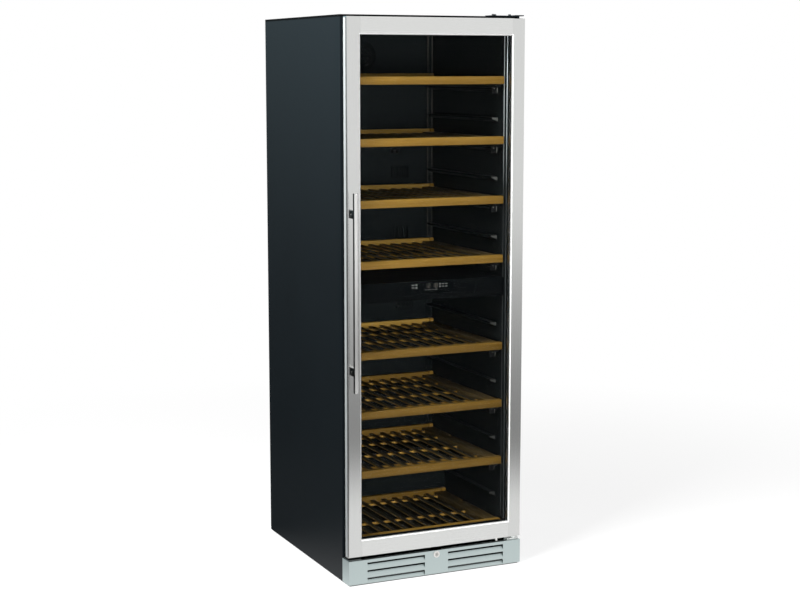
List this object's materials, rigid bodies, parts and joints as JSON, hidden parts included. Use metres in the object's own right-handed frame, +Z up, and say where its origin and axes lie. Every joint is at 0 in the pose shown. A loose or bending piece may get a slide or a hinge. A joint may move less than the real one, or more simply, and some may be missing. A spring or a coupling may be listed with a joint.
{
  "type": "wine display cabinet",
  "caption": "Tall free-standing cooled wine cabinet with a glazed steel-framed door, bar handle, slatted wooden shelves, a zone divider with a display, and a louvred kick plate.",
  "frame": {"origin": "on the floor under the middle of the whole cabinet, handle included", "axes": "+Z up, -Y to the front (the door side), +X to the right as seen from the front, where the door's hinges are"},
  "size_m": [0.595, 0.7362, 1.7362],
  "materials": {
    "cabinet_black": "satin black paint with a faint blue-grey sheen",
    "zinc_steel": "plain zinc-grey metal",
    "liner_black": "fine matt black moulding",
    "insulating_foam": "pale rigid foam, closed in by the casing and the liner",
    "panel_gloss_black": "glossy black panel",
    "fin_aluminium": "plain mill aluminium",
    "machine_black": "black enamel",
    "plastic_black": "semi-matt black",
    "kick_steel": "smooth blue-grey steel",
    "door_steel": "fine brushed stainless, light grey",
    "clear_glass": "clear, faintly grey",
    "gasket_rubber": "matt black soft rubber",
    "shelf_wood": "oiled golden-ochre wood with fine straight grain"
  },
  "bodies": {
    "cabinet": {"side_panel_left": "cabinet_black", "side_panel_right": "cabinet_black", "top_panel": "cabinet_black", "back_panel": "cabinet_black", "base_pan": "zinc_steel", "cabinet_floor": "zinc_steel", "liner_left": "liner_black", "liner_right": "liner_black", "liner_back": "liner_black", "liner_ceiling": "liner_black", "liner_floor": "liner_black", "insulation": "insulating_foam", "shelf_ledges": "liner_black", "zone_divider": "liner_black", "control_panel": "panel_gloss_black", "upper_duct_cover": "liner_black", "lower_duct_cover": "liner_black", "evaporators": "fin_aluminium", "fan_motors": "zinc_steel", "compressor": "machine_black", "condenser": "fin_aluminium", "drain_pan": "plastic_black", "cord_gland": "plastic_black", "rear_grille": "zinc_steel", "hinge_bracket_top": "cabinet_black", "hinge_bracket_bottom": "zinc_steel", "corner_plate": "zinc_steel", "kick_plate": "kick_steel", "lock_barrel": "zinc_steel", "screws": "zinc_steel"},
    "door": {"door_stile_left": "door_steel", "door_stile_right": "door_steel", "door_rail_top": "door_steel", "door_rail_bottom": "door_steel", "door_inner_frame": "plastic_black", "glass_front": "clear_glass", "glass_middle": "clear_glass", "glass_inner": "clear_glass", "glazing_spacers": "fin_aluminium", "door_gasket": "gasket_rubber", "handle_bar": "door_steel", "handle_posts": "door_steel", "hinge_bushes": "zinc_steel", "lock_keeper": "zinc_steel"},
    "shelf_1": {"shelf_1": "shelf_wood"},
    "shelf_2": {"shelf_2": "shelf_wood"},
    "shelf_3": {"shelf_3": "shelf_wood"},
    "shelf_4": {"shelf_4": "shelf_wood"},
    "shelf_5": {"shelf_5": "shelf_wood"},
    "shelf_6": {"shelf_6": "shelf_wood"},
    "shelf_7": {"shelf_7": "shelf_wood"},
    "shelf_8": {"shelf_8": "shelf_wood"},
    "upper_fan": {"upper_fan": "plastic_black"},
    "lower_fan": {"lower_fan": "plastic_black"},
    "condenser_fan": {"condenser_fan": "plastic_black"},
    "lock_cylinder": {"lock_cylinder": "zinc_steel"},
    "foot_front_left": {"foot_front_left": "plastic_black"},
    "foot_front_right": {"foot_front_right": "plastic_black"},
    "foot_rear_left": {"foot_rear_left": "plastic_black"},
    "foot_rear_right": {"foot_rear_right": "plastic_black"}
  },
  "joints": [
    {"name": "door_swing", "type": "hinge", "parent": "cabinet", "child": "door", "pos_m": [0.2815, -0.3041, 0.904], "axis": [0, 0, 1], "range_deg": [0, 105]},
    {"name": "shelf_1_slide", "type": "slide", "parent": "cabinet", "child": "shelf_1", "axis": [0, -1, 0], "range_m": [0, 0.012]},
    {"name": "shelf_2_slide", "type": "slide", "parent": "cabinet", "child": "shelf_2", "axis": [0, -1, 0], "range_m": [0, 0.012]},
    {"name": "shelf_3_slide", "type": "slide", "parent": "cabinet", "child": "shelf_3", "axis": [0, -1, 0], "range_m": [0, 0.012]},
    {"name": "shelf_4_slide", "type": "slide", "parent": "cabinet", "child": "shelf_4", "axis": [0, -1, 0], "range_m": [0, 0.012]},
    {"name": "shelf_5_slide", "type": "slide", "parent": "cabinet", "child": "shelf_5", "axis": [0, -1, 0], "range_m": [0, 0.012]},
    {"name": "shelf_6_slide", "type": "slide", "parent": "cabinet", "child": "shelf_6", "axis": [0, -1, 0], "range_m": [0, 0.012]},
    {"name": "shelf_7_slide", "type": "slide", "parent": "cabinet", "child": "shelf_7", "axis": [0, -1, 0], "range_m": [0, 0.012]},
    {"name": "shelf_8_slide", "type": "slide", "parent": "cabinet", "child": "shelf_8", "axis": [0, -1, 0], "range_m": [0, 0.012]},
    {"name": "upper_fan_spin", "type": "hinge", "parent": "cabinet", "child": "upper_fan", "pos_m": [0, 0.2709, 1.612], "axis": [0, 1, 0], "continuous": true},
    {"name": "lower_fan_spin", "type": "hinge", "parent": "cabinet", "child": "lower_fan", "pos_m": [0, 0.2709, 0.454], "axis": [0, 1, 0], "continuous": true},
    {"name": "condenser_fan_spin", "type": "hinge", "parent": "cabinet", "child": "condenser_fan", "pos_m": [-0.095, 0.2709, 0.134], "axis": [1, 0, 0], "continuous": true},
    {"name": "lock_turn", "type": "hinge", "parent": "cabinet", "child": "lock_cylinder", "pos_m": [0, -0.3131, 0.0665], "axis": [0, -1, 0], "range_deg": [0, 90]},
    {"name": "foot_front_left_level", "type": "slide", "parent": "cabinet", "child": "foot_front_left", "axis": [0, 0, -1], "range_m": [0, 0.02]},
    {"name": "foot_front_right_level", "type": "slide", "parent": "cabinet", "child": "foot_front_right", "axis": [0, 0, -1], "range_m": [0, 0.02]},
    {"name": "foot_rear_left_level", "type": "slide", "parent": "cabinet", "child": "foot_rear_left", "axis": [0, 0, -1], "range_m": [0, 0.02]},
    {"name": "foot_rear_right_level", "type": "slide", "parent": "cabinet", "child": "foot_rear_right", "axis": [0, 0, -1], "range_m": [0, 0.02]}
  ]
}
